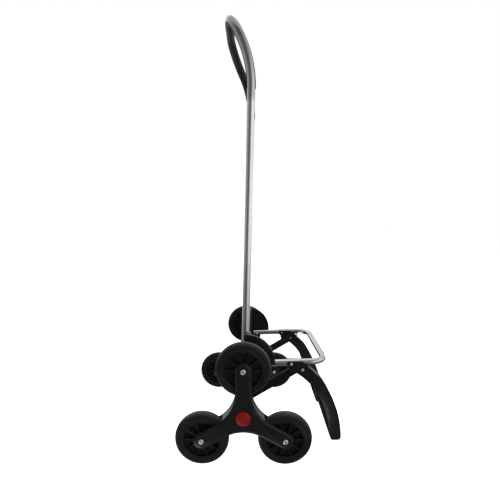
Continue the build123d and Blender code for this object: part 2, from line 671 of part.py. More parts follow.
centre_out = (half_length**2 - SCOOP_DEPTH**2) / (2 * SCOOP_DEPTH)
with BuildPart() as scoop:
    with BuildSketch(Plane(origin=scoop_middle, x_dir=-scoop_back, z_dir=outward)):
        Rectangle(2 * SCOOP_WIDTH, SCOOP_LENGTH, align=(Align.MIN, Align.CENTER))
    extrude(amount=2 * SCOOP_DEPTH, both=True)
    with Locations(scoop_middle + scoop_back * centre_back + outward * centre_out):
        Sphere(sqrt(half_length**2 + centre_back**2 + centre_out**2), mode=Mode.INTERSECT)
heel_x = LEG_PIVOT_X - LEG_HEEL_INSET
heel_z = LEG_PIVOT_Z - sqrt(LEG_EYE_RADIUS**2 - LEG_HEEL_INSET**2)
with BuildPart() as support_leg:
    with BuildSketch(side_plane(0)) as leg_side:
        with BuildLine():
            Line((saddle_rear_x, saddle_z), (saddle_front_x, saddle_z))
            Line((saddle_front_x, saddle_z), (LEG_HIP_X, LEG_HIP_Z))
            ThreePointArc(
                (LEG_HIP_X, LEG_HIP_Z),
                (LEG_SHIN_X, LEG_SHIN_Z),
                (LEG_REACH, LEG_TOE_RADIUS),
            )
            TangentArc((LEG_REACH, LEG_TOE_RADIUS), (LEG_REACH - LEG_TOE_RADIUS, 0), tangent=(0, -1))
            Polyline(
                (LEG_REACH - LEG_TOE_RADIUS, 0),
                (LEG_FOOT_REAR_X, 0),
                (LEG_KINK_X, LEG_KINK_Z),
            )
            ThreePointArc(
                (LEG_KINK_X, LEG_KINK_Z),
                (LEG_ARCH_X, LEG_ARCH_Z),
                (LEG_CROTCH_X, LEG_CROTCH_Z),
            )
            Polyline(
                (LEG_CROTCH_X, LEG_CROTCH_Z),
                (heel_x, LEG_CROTCH_Z),
                (heel_x, heel_z),
            )
            ThreePointArc(
                (heel_x, heel_z),
                (LEG_PIVOT_X - LEG_EYE_RADIUS, LEG_PIVOT_Z),
                (saddle_rear_x, saddle_z),
            )
        make_face()
        sole_rear = leg_side.vertices().group_by(Axis.Y)[0].sort_by(Axis.X)[0]
        fillet(sole_rear, LEG_SOLE_RADIUS)
    extrude(amount=BRACKET_OUTER_Y)
    with BuildSketch(Plane(origin=(0, 0, 0), x_dir=(0, -1, 0), z_dir=(-1, 0, 0))):
        with BuildLine():
            Polyline(
                (LEG_OUTER_Y, saddle_z),
                (LEG_OUTER_Y, LEG_LEAN_Z),
                (LEG_OUTER_Y - LEG_LEAN_IN, 0),
                (LEG_INNER_Y - LEG_LEAN_IN, 0),
                (LEG_INNER_Y, LEG_LEAN_Z),
                (LEG_INNER_Y, saddle_z),
                close=True,
            )
        make_face()
    extrude(amount=LEG_REACH, both=True, mode=Mode.INTERSECT)
    groove_radius = PLATFORM_RADIUS + SIDE_GAP
    groove_start = Vector(AXLE_X + LEG_PIVOT_X, -PLATFORM_HALF_WIDTH, LEG_PIVOT_Z)
    with BuildSketch(Plane(origin=groove_start, x_dir=(0, 1, 0), z_dir=platform_plane.x_dir)):
        Circle(groove_radius)
        with Locations((0, LEG_EYE_RADIUS)):
            Rectangle(2 * groove_radius, 2 * LEG_EYE_RADIUS)
    extrude(amount=LEG_REACH - LEG_PIVOT_X, mode=Mode.SUBTRACT)
    with BuildSketch(side_plane(-CHEEK_INNER_Y)):
        with Locations((LEG_PIVOT_X + groove_radius - LEG_EYE_RADIUS * 2, LEG_PIVOT_Z)):
            Rectangle(4 * LEG_EYE_RADIUS, 6 * LEG_EYE_RADIUS)
    extrude(amount=CHEEK_OUTER_Y - CHEEK_INNER_Y, mode=Mode.SUBTRACT)
    with BuildSketch(side_plane(0)):
        with Locations((LEG_PIVOT_X, LEG_PIVOT_Z), (STRUT_PIVOT_X, STRUT_PIVOT_Z)):
            Circle(PIVOT_BOLT_DIAMETER / 2 + RUNNING_FIT)
    extrude(amount=BRACKET_OUTER_Y, mode=Mode.SUBTRACT)
    add(scoop.part, mode=Mode.SUBTRACT)
save_pair(support_leg, "support_leg")


def pivot_bolt(x, z, inner_y):
    """Model a pan-headed bolt through the right leg, with its round nut at inner_y."""
    with BuildPart() as bolt:
        with BuildSketch(side_plane(-inner_y)):
            with Locations((x, z)):
                Circle(PIVOT_BOLT_DIAMETER / 2)
        extrude(amount=LEG_OUTER_Y - inner_y)
        with BuildSketch(side_plane(-LEG_OUTER_Y)):
            with Locations((x, z)):
                Circle(SCREW_HEAD_DIAMETER / 2)
        extrude(amount=SCREW_HEAD_HEIGHT)
        with BuildSketch(side_plane(-inner_y)):
            with Locations((x, z)):
                Circle(PIVOT_NUT_DIAMETER / 2)
        extrude(amount=-PIVOT_NUT_HEIGHT)
    return bolt


# Pivot bolts: leg on the platform tube, and strut on the leg
save_pair(pivot_bolt(LEG_PIVOT_X, LEG_PIVOT_Z, LEG_INNER_Y), "leg_pivot_bolt")
save_pair(pivot_bolt(STRUT_PIVOT_X, STRUT_PIVOT_Z, STRUT_INNER_Y - SIDE_GAP), "strut_pivot_bolt")

# Strut: a flat bar from the axle to the leg, slotted for the pivot bolt
strut_length = STRUT_VECTOR.length
strut_face = Plane(
    origin=(AXLE_X, -STRUT_INNER_Y, AXLE_Z),
    x_dir=STRUT_VECTOR.normalized(),
    z_dir=(0, -1, 0),
)
with BuildPart() as fold_strut:
    with BuildSketch(strut_face):
        bar_length = strut_length + STRUT_SLOT_TRAVEL
        with Locations((strut_length / 2, 0)):
            SlotCenterToCenter(strut_length, STRUT_WIDTH)
        with Locations((bar_length / 2, 0)):
            SlotCenterToCenter(bar_length, STRUT_TIP_WIDTH)
        Circle(STRUT_EYE_DIAMETER / 2)
        Circle(AXLE_DIAMETER / 2 + RUNNING_FIT, mode=Mode.SUBTRACT)
        with Locations((strut_length + STRUT_SLOT_TRAVEL / 2, 0)):
            SlotCenterToCenter(
                STRUT_SLOT_TRAVEL,
                PIVOT_BOLT_DIAMETER + 2 * SLOT_FIT,
                mode=Mode.SUBTRACT,
            )
    extrude(amount=STRUT_THICKNESS)
    with BuildSketch(strut_face, strut_face.offset(STRUT_THICKNESS - STRUT_POCKET_DEPTH)):
        with Locations((strut_length / 2, 0)):
            SlotCenterToCenter(strut_length - 2 * STRUT_POCKET_MARGIN, STRUT_POCKET_WIDTH)
    extrude(amount=STRUT_POCKET_DEPTH, mode=Mode.SUBTRACT)
save_pair(fold_strut, "fold_strut")
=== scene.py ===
"""Looks of the stair-climbing shopping trolley chassis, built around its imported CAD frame."""

import json
import logging
import math
from dataclasses import dataclass, field
from enum import Enum
from typing import Sequence, Union

import bmesh
import bpy
from mathutils import Matrix, Vector


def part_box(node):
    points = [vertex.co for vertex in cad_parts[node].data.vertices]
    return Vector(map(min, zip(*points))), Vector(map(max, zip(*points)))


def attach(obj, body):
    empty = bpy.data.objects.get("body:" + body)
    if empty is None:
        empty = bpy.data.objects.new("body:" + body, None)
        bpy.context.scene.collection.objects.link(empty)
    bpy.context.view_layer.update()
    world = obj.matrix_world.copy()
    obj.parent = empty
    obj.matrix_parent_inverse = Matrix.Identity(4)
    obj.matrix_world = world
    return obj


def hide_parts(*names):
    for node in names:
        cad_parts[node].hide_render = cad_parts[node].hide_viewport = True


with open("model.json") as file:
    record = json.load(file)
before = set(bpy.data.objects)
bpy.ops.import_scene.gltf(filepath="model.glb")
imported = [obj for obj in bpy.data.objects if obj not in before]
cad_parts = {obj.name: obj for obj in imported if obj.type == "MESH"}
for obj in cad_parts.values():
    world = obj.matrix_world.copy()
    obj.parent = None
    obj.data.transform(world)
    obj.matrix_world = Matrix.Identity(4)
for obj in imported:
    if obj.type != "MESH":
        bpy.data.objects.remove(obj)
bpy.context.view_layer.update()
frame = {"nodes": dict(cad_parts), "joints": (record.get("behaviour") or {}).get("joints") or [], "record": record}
LOG = logging.getLogger("trolley")
MM = 0.001
WELD = 2e-6
CAD_WELD = 5e-6
SPECK = 1e-6
FLAT_DEG = 0.6
SHARP_DEG = 34.0
SHANK_SEGMENTS = 20
THREAD_ROOT = 0.88
THREAD_END = 0.72
PAN_FLAT = 0.56
PAN_SEGMENTS = 32
PAN_DOME = ((1.32, 0.08), (1.18, 0.14), (1.1, 0.2), (1.042, 0.26), (1.0, 0.32))
CROSS_ARM = 0.13
CROSS_REACH = 0.46
CROSS_DEPTH = 0.75
CROSS_FLOOR = 0.6
LEFTWARDS = Vector((0, 1, 0))
UPWARDS = Vector((0, 0, 1))

Operand = Union["Signal", int, float]
Input = Union["Signal", int, float, Sequence[float]]
Triple = tuple[float, float, float]
Colour = Triple
Pair = tuple[float, float]
BMesh = bmesh.types.BMesh
Edges = list[bmesh.types.BMEdge]
Material = bpy.types.Material


class Side(Enum):
    """The trolley's two sides, with the word that starts their names and the sign of Y."""

    RIGHT = ("right", -1)
    LEFT = ("left", 1)

    def node(self, name: str) -> str:
        """Full name of a node, joint or piece on this side."""
        return f"{self.value[0]}_{name}"

    @property
    def sign(self) -> int:
        """Sign of Y on this side."""
        return self.value[1]

    @property
    def outward(self) -> Vector:
        """Direction away from the trolley's middle."""
        return Vector((0, self.sign, 0))


class Place(Enum):
    """Places of the wheels on a star."""

    UPPER = "upper"
    REAR = "rear"
    FRONT = "front"


# Shader maths


class Signal:
    """A shader value that can be used in sums, each of which adds a Math node."""

    def __init__(self, graph: "Graph", socket: bpy.types.NodeSocket) -> None:
        """Keep the graph and the socket that carries the value."""
        self.graph = graph
        self.socket = socket

    def math(self, operation: str, *others: Operand, swapped: bool = False) -> "Signal":
        """Apply a Math node.

        Args:
            operation: Name of the Math node's operation.
            others: The further operands.
            swapped: Whether this value comes last.

        Returns:
            The node's result.
        """
        operands = [*others, self] if swapped else [self, *others]
        node = self.graph.node("ShaderNodeMath", {"operation": operation}, dict(enumerate(operands)))
        return Signal(self.graph, node.outputs[0])

    def __add__(self, other: Operand) -> "Signal":
        """Sum."""
        return self.math("ADD", other)

    __radd__ = __add__

    def __sub__(self, other: Operand) -> "Signal":
        """Difference."""
        return self.math("SUBTRACT", other)

    def __rsub__(self, other: Operand) -> "Signal":
        """Difference from a number."""
        return self.math("SUBTRACT", other, swapped=True)

    def __mul__(self, other: Operand) -> "Signal":
        """Product."""
        return self.math("MULTIPLY", other)

    __rmul__ = __mul__

    def above(self, low: float, high: float) -> "Signal":
        """Rise smoothly from 0 at the low value to 1 at the high one."""
        settings = {"interpolation_type": "SMOOTHSTEP"}
        node = self.graph.node("ShaderNodeMapRange", settings, {0: self, 1: low, 2: high, 3: 0.0, 4: 1.0})
        return Signal(self.graph, node.outputs[0])

    def mix(self, low: Input, high: Input) -> "Signal":
        """Blend two colours.

        Args:
            low: The colour where this value is 0.
            high: The colour where this value is 1.

        Returns:
            The blended colour.
        """
        node = self.graph.node("ShaderNodeMix", {"data_type": "RGBA"}, {"Factor": self})
        for name, colour in (("A_Color", low), ("B_Color", high)):
            socket = next(s for s in node.inputs if s.identifier == name)
            self.graph.feed(socket, colour)
        return Signal(self.graph, next(s for s in node.outputs if s.identifier == "Result_Color"))


class Graph:
    """Node graph of one material, around a Principled shader."""

    def __init__(self, name: str) -> None:
        """Start a material with that name."""
        self.material = bpy.data.materials.new(name)
        self.material.use_nodes = True
        self.tree = self.material.node_tree
        self.shader = self.tree.nodes["Principled BSDF"]

    def feed(self, socket: bpy.types.NodeSocket, value: Input) -> None:
        """Set a socket to a number or colour, or link a signal to it."""
        if isinstance(value, Signal):
            self.tree.links.new(value.socket, socket)
        elif socket.type == "RGBA" and len(value) == 3:
            socket.default_value = (*value, 1.0)
        else:
            socket.default_value = value

    def node(self, kind: str, settings: dict, inputs: dict) -> bpy.types.Node:
        """Add any node.

        Args:
            kind: The node's type.
            settings: Attributes that are set first.
            inputs: Values or links of its sockets, by name or index.

        Returns:
            The new node.
        """
        node = self.tree.nodes.new(kind)
        for name, value in settings.items():
            setattr(node, name, value)
        for key, value in inputs.items():
            self.feed(node.inputs[key], value)
        return node

    def place(self, stretch: Triple = (1.0, 1.0, 1.0)) -> Signal:
        """Object coordinates in metres, stretched along the axes."""
        coordinates = self.node("ShaderNodeTexCoord", {}, {})
        source = Signal(self, coordinates.outputs["Object"])
        mapping = self.node("ShaderNodeMapping", {}, {"Vector": source, "Scale": stretch})
        return Signal(self, mapping.outputs[0])

    def noise(self, scale: float, detail: float = 2.0, stretch: Triple = (1.0, 1.0, 1.0)) -> Signal:
        """Soft noise from 0 to 1 in object coordinates."""
        inputs = {"Vector": self.place(stretch), "Scale": scale, "Detail": detail}
        return Signal(self, self.node("ShaderNodeTexNoise", {}, inputs).outputs[0])

    def cells(self, scale: float) -> Signal:
        """Distance to the nearest point of a random cell pattern."""
        inputs = {"Vector": self.place(), "Scale": scale}
        return Signal(self, self.node("ShaderNodeTexVoronoi", {}, inputs).outputs["Distance"])

    def attribute(self, name: str) -> Signal:
        """A value that the mesh carries."""
        node = self.node("ShaderNodeAttribute", {"attribute_name": name}, {})
        return Signal(self, node.outputs["Fac"])

    def edges(self, radius: float) -> Signal:
        """Mask that is 1 along sharp edges and 0 on flat faces."""
        bevel = self.node("ShaderNodeBevel", {"samples": 4}, {"Radius": radius})
        geometry = self.node("ShaderNodeNewGeometry", {}, {})
        pair = {0: Signal(self, bevel.outputs[0]), 1: Signal(self, geometry.outputs["Normal"])}
        dot = self.node("ShaderNodeVectorMath", {"operation": "DOT_PRODUCT"}, pair)
        return (1.0 - Signal(self, dot.outputs["Value"])).above(0.01, 0.22)

    def relief(self, height: Signal, strength: float, depth: float) -> None:
        """Give the surface a bump of a depth in metres."""
        bump = self.node("ShaderNodeBump", {}, {"Height": height, "Strength": strength, "Distance": depth})
        self.feed(self.shader.inputs["Normal"], Signal(self, bump.outputs[0]))

    def set(self, **inputs: Input) -> None:
        """Set sockets of the Principled shader, named with underscores for spaces."""
        for name, value in inputs.items():
            self.feed(self.shader.inputs[name.replace("_", " ")], value)


class Surround(Graph):
    """Node graph of the world round the scene, around a Background shader."""

    def __init__(self, name: str) -> None:
        """Start a world with that name."""
        self.world = bpy.data.worlds.new(name)
        self.world.use_nodes = True
        self.tree = self.world.node_tree
        self.shader = self.tree.nodes["Background"]

    def direction(self) -> tuple[Signal, Signal, Signal]:
        """The three parts of the direction that a ray leaves in."""
        coordinates = self.node("ShaderNodeTexCoord", {}, {})
        source = Signal(self, coordinates.outputs["Generated"])
        parts = self.node("ShaderNodeSeparateXYZ", {}, {0: source})
        return tuple(Signal(self, socket) for socket in parts.outputs)

    def backdrop(self, colour: Colour) -> None:
        """Show the camera a plain colour behind everything."""
        plain = self.node("ShaderNodeBackground", {}, {"Color": colour, "Strength": 1.0})
        seen = Signal(self, self.node("ShaderNodeLightPath", {}, {}).outputs["Is Camera Ray"])
        lit = Signal(self, self.shader.outputs[0])
        mix = self.node("ShaderNodeMixShader", {}, {0: seen, 1: lit, 2: Signal(self, plain.outputs[0])})
        self.tree.links.new(mix.outputs[0], self.tree.nodes["World Output"].inputs[0])


# Finishes


@dataclass(frozen=True)
class DrawnTube:
    """Plated steel tube with fine draw lines along one axis, and a painted shade of darker grey where the mesh
    says so.
    """

    name: str
    slot: str
    colour: Colour
    tint: Colour
    roughness: float
    stretch: Triple
    # Colour of the painted shade, which stands in for a dimmer reflection
    paint_shade: Colour = (0.15, 0.145, 0.14)

    def make(self) -> Material:
        """Build the material."""
        graph = Graph(self.name)
        lines = graph.noise(scale=900.0, detail=3.0, stretch=self.stretch)
        smudge = graph.noise(scale=14.0, detail=4.0)
        specks = graph.noise(scale=320.0).above(0.66, 0.8)
        plated = smudge.above(0.35, 0.7).mix(self.colour, self.tint)
        graph.set(
            # Painted shade: where the mesh says so, the plating turns darker grey in place of a dimmer reflection
            Base_Color=graph.attribute("painted_shade").mix(plated, self.paint_shade),
            Metallic=1.0,
            Roughness=self.roughness + lines * 0.05 + smudge * 0.07 + specks * 0.08,
        )
        graph.relief(lines + smudge * 0.4, strength=0.05, depth=0.0002)
        return graph.material


@dataclass(frozen=True)
class MouldedPlastic:
    """Satin moulded plastic with a fine grain and rubbed edges."""

    name: str
    slot: str
    colour: Colour
    tint: Colour
    rubbed: Colour
    roughness: float

    def make(self) -> Material:
        """Build the material."""
        graph = Graph(self.name)
        grain = graph.noise(scale=1500.0)
        flow = graph.noise(scale=22.0, detail=4.0)
        wear = graph.edges(radius=0.0012) * graph.noise(scale=120.0, detail=4.0).above(0.3, 0.75)
        body = flow.above(0.3, 0.7).mix(self.colour, self.tint)
        scuffs = graph.noise(scale=60.0, detail=6.0, stretch=(1.0, 1.0, 0.25)).above(0.64, 0.8)
        graph.set(
            Base_Color=(wear * 0.8).mix(body, self.rubbed),
            Roughness=self.roughness + grain * 0.1 + flow * 0.08 + scuffs * 0.1 - wear * 0.08,
            IOR=1.42,
        )
        graph.relief(grain, strength=0.16, depth=0.00025)
        return graph.material


@dataclass(frozen=True)
class TyreRubber:
    """Matt tyre rubber, greyer on the tread where it meets the ground."""

    name: str
    slot: str
    colour: Colour
    worn: Colour
    dust: Colour

    def make(self) -> Material:
        """Build the material."""
        graph = Graph(self.name)
        tread = graph.attribute("tread")
        grain = graph.noise(scale=1100.0, detail=3.0)
        patches = graph.noise(scale=48.0, detail=5.0)
        worn = tread * (patches.above(0.3, 0.75) * 0.5 + 0.5)
        rubber = worn.mix(self.colour, self.worn)
        dust = graph.noise(scale=180.0, detail=4.0).above(0.56, 0.82) * (tread * 0.5 + 0.15)
        graph.set(
            Base_Color=dust.mix(rubber, self.dust),
            Roughness=0.56 + grain * 0.12 + worn * 0.14,
            IOR=1.45,
        )
        skin = grain + graph.noise(scale=420.0) * 0.6
        graph.relief(skin, strength=0.22, depth=0.0003)
        return graph.material


@dataclass(frozen=True)
class SoftGrip:
    """Soft black grip liner with a pebbled skin."""

    name: str
    slot: str
    colour: Colour
    rubbed: Colour

    def make(self) -> Material:
        """Build the material."""
        graph = Graph(self.name)
        pebbles = graph.cells(scale=900.0)
        handled = graph.noise(scale=26.0, detail=4.0).above(0.42, 0.72)
        graph.set(
            Base_Color=handled.mix(self.colour, self.rubbed),
            Roughness=0.62 - handled * 0.14 + pebbles * 0.1,
            IOR=1.47,
        )
        graph.relief(pebbles, strength=0.35, depth=0.0002)
        return graph.material


@dataclass(frozen=True)
class PlatedFastener:
    """Zinc-plated steel with a faint coloured passivation, and blackened where the mesh says so."""

    name: str
    slot: str
    colour: Colour
    tint: Colour
    black: Colour
    roughness: float

    def make(self) -> Material:
        """Build the material."""
        graph = Graph(self.name)
        bloom = graph.noise(scale=130.0, detail=4.0)
        pits = graph.noise(scale=1400.0)
        plated = bloom.above(0.35, 0.68).mix(self.colour, self.tint)
        graph.set(
            Base_Color=graph.attribute("blackened").mix(plated, self.black),
            Metallic=1.0,
            Roughness=self.roughness + bloom * 0.12 + pits * 0.08,
        )
        graph.relief(pits, strength=0.12, depth=0.0002)
        return graph.material


@dataclass(frozen=True)
class Finishes:
    """The trolley's finishes."""

    polished: DrawnTube = DrawnTube(
        "polished_tube", "polished_tube",
        colour=(0.715, 0.715, 0.72), tint=(0.65, 0.65, 0.665), roughness=0.07, stretch=(1.0, 1.0, 0.02),
    )
    satin: DrawnTube = DrawnTube(
        "satin_tube", "satin_tube",
        colour=(0.62, 0.607, 0.575), tint=(0.54, 0.527, 0.495), roughness=0.08, stretch=(0.02, 1.0, 1.0),
    )
    plastic: MouldedPlastic = MouldedPlastic(
        "black_moulding", "black_plastic", colour=(0.0058, 0.0078, 0.0074),
        tint=(0.0078, 0.0098, 0.0098), rubbed=(0.045, 0.05, 0.05), roughness=0.36,
    )
    wheel_plastic: MouldedPlastic = MouldedPlastic(
        "wheel_moulding", "black_plastic", colour=(0.0048, 0.0062, 0.0062),
        tint=(0.007, 0.0086, 0.0086), rubbed=(0.03, 0.033, 0.033), roughness=0.42,
    )
    cap: MouldedPlastic = MouldedPlastic(
        "red_moulding", "red_cap", colour=(0.385, 0.0055, 0.004),
        tint=(0.42, 0.008, 0.0055), rubbed=(0.5, 0.028, 0.022), roughness=0.38,
    )
    rubber: TyreRubber = TyreRubber(
        "tyre_rubber", "tyre_rubber",
        colour=(0.0075, 0.008, 0.0082), worn=(0.07, 0.072, 0.068), dust=(0.11, 0.11, 0.1),
    )
    grip: SoftGrip = SoftGrip(
        "grip_skin", "grip_rubber", colour=(0.0075, 0.0075, 0.008), rubbed=(0.014, 0.014, 0.015),
    )
    zinc: PlatedFastener = PlatedFastener(
        "plated_fastener", "plated_steel",
        colour=(0.95, 0.95, 0.96), tint=(0.9, 0.88, 0.82), black=(0.05, 0.052, 0.054), roughness=0.34,
    )

    def all(self) -> dict[str, tuple[str, Material]]:
        """Make every material.

        Returns:
            For each finish's field name, its record slot and its material.
        """
        return {name: (finish.slot, finish.make()) for name, finish in vars(self).items()}


@dataclass
class Workshop:
    """Turns bmeshes into finished pieces that ride on CAD bodies."""

    finishes: dict[str, tuple[str, Material]]
    body_of: dict[str, str]
    count: int = 0

    def piece(
        self, bm: BMesh, name: str, finish: str, nodes: Sequence[str], smooth_deg: float = 35.0
    ) -> None:
        """Finish a bmesh as a piece in place of CAD nodes.

        Args:
            bm: The mesh in the row frame, which is freed.
            name: The piece's name.
            finish: Field name of its finish.
            nodes: CAD nodes that it stands for, all on one body.
            smooth_deg: Edges sharper than this stay sharp.
        """
        slot, material = self.finishes[finish]
        mesh = bpy.data.meshes.new(name)
        for face in bm.faces:
            face.smooth = True
        bm.to_mesh(mesh)
        bm.free()
        mesh.set_sharp_from_angle(angle=math.radians(smooth_deg))
        mesh.materials.append(material)
        obj = placed(name, mesh)
        body = self.body_of[nodes[0]]
        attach(obj, body)
        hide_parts(*nodes)
        self.count += 1
        LOG.info("%s: %d faces on %s", name, len(mesh.polygons), body)

    def dress(self, node: str, finish: str) -> None:
        """Give a CAD node's own mesh a finish."""
        mesh = frame["nodes"][node].data
        mesh.materials.clear()
        mesh.materials.append(self.finishes[finish][1])
        LOG.info("%s: CAD node in %s", node, finish)

    def softened(self, node: str, radius: float) -> BMesh:
        """Copy a CAD node's mesh and round its sharp edges.

        Args:
            node: The CAD node.
            radius: Width of the rounding, in metres.

        Returns:
            The rounded copy.
        """
        bm = bmesh.new()
        bm.from_mesh(frame["nodes"][node].data)
        bmesh.ops.remove_doubles(bm, verts=bm.verts, dist=CAD_WELD)
        bmesh.ops.dissolve_limit(bm, angle_limit=math.radians(FLAT_DEG), verts=bm.verts, edges=bm.edges)
        rounded(bm, sharp_edges(bm, math.radians(SHARP_DEG)), radius, segments=2)
        bmesh.ops.dissolve_degenerate(bm, dist=SPECK, edges=bm.edges)
        return bm


# Mesh helpers


def joint_place(name: str) -> Vector:
    """Point in the row frame where a joint turns."""
    return Vector(next(j["pos_m"] for j in frame["joints"] if j["name"] == name))


def placed(name: str, data: bpy.types.ID) -> bpy.types.Object:
    """Add an object to the scene."""
    obj = bpy.data.objects.new(name, data)
    bpy.context.scene.collection.objects.link(obj)
    return obj


def ramp(value: float, start: float, width: float) -> float:
    """Rise from 0 at the start to 1 after the width, and stay there."""
    return min(1.0, max(0.0, (value - start) / width))


def facing(place: Vector, outward: Vector) -> Matrix:
    """Matrix that turns Z to a direction and moves to a place."""
    return Matrix.Translation(place) @ outward.to_track_quat("Z", "Y").to_matrix().to_4x4()


def sharp_edges(bm: BMesh, limit: float) -> Edges:
    """Edges whose two faces turn by more than an angle in radians."""
    return [e for e in bm.edges if len(e.link_faces) == 2 and e.calc_face_angle() > limit]


def rounded(bm: BMesh, edges: Edges, width: float, segments: int) -> None:
    """Round edges by a width in metres."""
    bmesh.ops.bevel(
        bm, geom=edges, offset=width, offset_type="OFFSET", affect="EDGES", segments=segments, profile=0.5,
        material=-1, clamp_overlap=True,
    )


def spun(
    bm: BMesh, profile: Sequence[Pair], centre: Vector, steps: int, closed: bool
) -> None:
    """Spin a profile about a line parallel to Y.

    Args:
        bm: Mesh that gets the shape.
        profile: Radius and distance along Y of each point, in millimetres.
        centre: Middle of the line.
        steps: Segments round the circle.
        closed: Whether the profile's last point joins its first.
    """
    verts = [bm.verts.new(centre + Vector((0, y * MM, r * MM))) for r, y in profile]
    following = verts[1:] + verts[:1] if closed else verts[1:]
    edges = [bm.edges.new(pair) for pair in zip(verts, following)]
    bmesh.ops.spin(
        bm, geom=verts + edges, cent=centre, axis=(0, 1, 0), angle=math.tau, steps=steps, use_merge=True
    )


def tidy(bm: BMesh) -> None:
    """Merge doubled points and turn all faces outwards."""
    bmesh.ops.remove_doubles(bm, verts=bm.verts, dist=WELD)
    bmesh.ops.recalc_face_normals(bm, faces=bm.faces)


class TubeRun:
    """A ring of edges that is drawn along straight runs and round bends."""

    def __init__(self, bm: BMesh, edges: Edges) -> None:
        """Start from a ring."""
        self.bm = bm
        self.edges = edges

    def verts(self) -> list[bmesh.types.BMVert]:
        """Points of the ring as it stands."""
        return list({v for e in self.edges for v in e.verts})

    def middle(self) -> Vector:
        """Middle of the ring as it stands."""
        verts = self.verts()
        return sum((v.co for v in verts), Vector()) / len(verts)

    def straight(self, move: Vector, scale: float = 1.0) -> None:
        """Extrude the ring by a move, and scale it about its middle."""
        grown = bmesh.ops.extrude_edge_only(self.bm, edges=self.edges)["geom"]
        self.edges = [g for g in grown if isinstance(g, bmesh.types.BMEdge) and g.is_boundary]
        verts = self.verts()
        bmesh.ops.translate(self.bm, verts=verts, vec=move)
        if scale != 1.0:
            space = Matrix.Translation(-self.middle())
            bmesh.ops.scale(self.bm, verts=verts, vec=(scale,) * 3, space=space)

    def bend(self, centre: Vector, axis: Vector, angle: float, steps: int) -> None:
        """Spin the ring about an axis."""
        ring = self.verts() + self.edges
        last = bmesh.ops.spin(
            self.bm, geom=ring, cent=centre, axis=axis, angle=angle, steps=steps, use_merge=False
        )["geom_last"]
        self.edges = [g for g in last if isinstance(g, bmesh.types.BMEdge)]

    def flatten(self) -> None:
        """Bring the ring into the trolley's middle plane."""
        for vert in self.verts():
            vert.co.y = 0.0


def ring_at(
    bm: BMesh, centre: Vector, along: Vector, radius: float, segments: int, capped: bool = False
) -> TubeRun:
    """Start a tube.

    Args:
        bm: Mesh that gets the ring.
        centre: Middle of the ring.
        along: Direction of the tube.
        radius: Radius of the ring in metres.
        segments: Points on the ring.
        capped: Whether a face closes the ring.

    Returns:
        The ring, ready to be drawn out.
    """
    matrix = facing(centre, along)
    made = bmesh.ops.create_circle(bm, cap_ends=capped, segments=segments, radius=radius, matrix=matrix)
    return TubeRun(bm, list({e for v in made["verts"] for e in v.link_edges}))


def tube_skins(
    bm: BMesh, centre: Vector, along: Vector, radius: float, wall: float, segments: int
) -> tuple[TubeRun, TubeRun]:
    """Start a hollow tube with the flat face of its end.

    Args:
        bm: Mesh that gets the tube.
        centre: Middle of the end.
        along: Direction of the tube.
        radius: Outer radius in metres.
        wall: Thickness of the wall in metres.
        segments: Points on each ring.

    Returns:
        The rings of the bore and of the outside, ready to be drawn out.
    """
    bore = ring_at(bm, centre, along, radius - wall, segments)
    outside = TubeRun(bm, bore.edges)
    outside.straight(Vector(), radius / (radius - wall))
    return bore, outside


def mirrored(bm: BMesh) -> None:
    """Add the other side's half of a mesh that ends at Y = 0."""
    bmesh.ops.mirror(bm, geom=bm.verts[:] + bm.edges[:] + bm.faces[:], axis="Y", merge_dist=WELD)
    tidy(bm)


def pan_head(bm: BMesh, base: Vector, outward: Vector, radius: float, height: float) -> None:
    """Model a pan head with a cross recess.

    Args:
        bm: Mesh that gets the head.
        base: Middle of the head's underside.
        outward: Direction that the head faces.
        radius: Radius of the head in metres.
        height: Height of the head in metres.
    """
    head = bmesh.new()
    top = ring_at(head, UPWARDS * height, UPWARDS, radius * PAN_FLAT, PAN_SEGMENTS)
    rim = list(top.edges)
    for share, drop in PAN_DOME:
        top.straight(Vector((0, 0, -height * drop)), share)
    bmesh.ops.contextual_create(head, geom=top.edges)
    arm = radius * CROSS_ARM
    reach = radius * CROSS_REACH
    quarter = [Vector((reach, -arm, height)), Vector((reach, arm, height)), Vector((arm, arm, height))]
    turns = [Matrix.Rotation(math.pi / 2 * n, 3, "Z") for n in range(4)]
    verts = [head.verts.new(turn @ point) for turn in turns for point in quarter]
    recess = TubeRun(head, [head.edges.new(pair) for pair in zip(verts, verts[1:] + verts[:1])])
    bmesh.ops.triangle_fill(head, use_beauty=True, edges=rim + recess.edges, normal=UPWARDS)
    recess.straight(Vector((0, 0, -height * CROSS_DEPTH)), CROSS_FLOOR)
    bmesh.ops.contextual_create(head, geom=recess.edges)
    tidy(head)
    bmesh.ops.transform(head, matrix=facing(base, outward), verts=head.verts)
    merge(bm, head)


def merge(bm: BMesh, other: BMesh) -> None:
    """Add another bmesh to one, and free it."""
    mesh = bpy.data.meshes.new("loose")
    other.to_mesh(mesh)
    other.free()
    bm.from_mesh(mesh)
    bpy.data.meshes.remove(mesh)


def threaded(
    bm: BMesh, start: Vector, outward: Vector, radius: float, length: float, pitch: float
) -> None:
    """Model a shank whose ridges look like a screw thread, with a chamfered end.

    Args:
        bm: Mesh that gets the shank.
        start: Middle of its base.
        outward: Direction that it points.
        radius: Outer radius in metres.
        length: Length in metres.
        pitch: Distance between ridges in metres.
    """
    run = ring_at(bm, start, outward, radius, SHANK_SEGMENTS)
    turns = max(1, round(length / pitch))
    step = outward * (length / turns / 2)
    for _ in range(turns - 1):
        run.straight(step, THREAD_ROOT)
        run.straight(step, 1 / THREAD_ROOT)
    run.straight(step)
    run.straight(step, THREAD_END)
    bmesh.ops.contextual_create(bm, geom=run.edges)


# Sub-assemblies


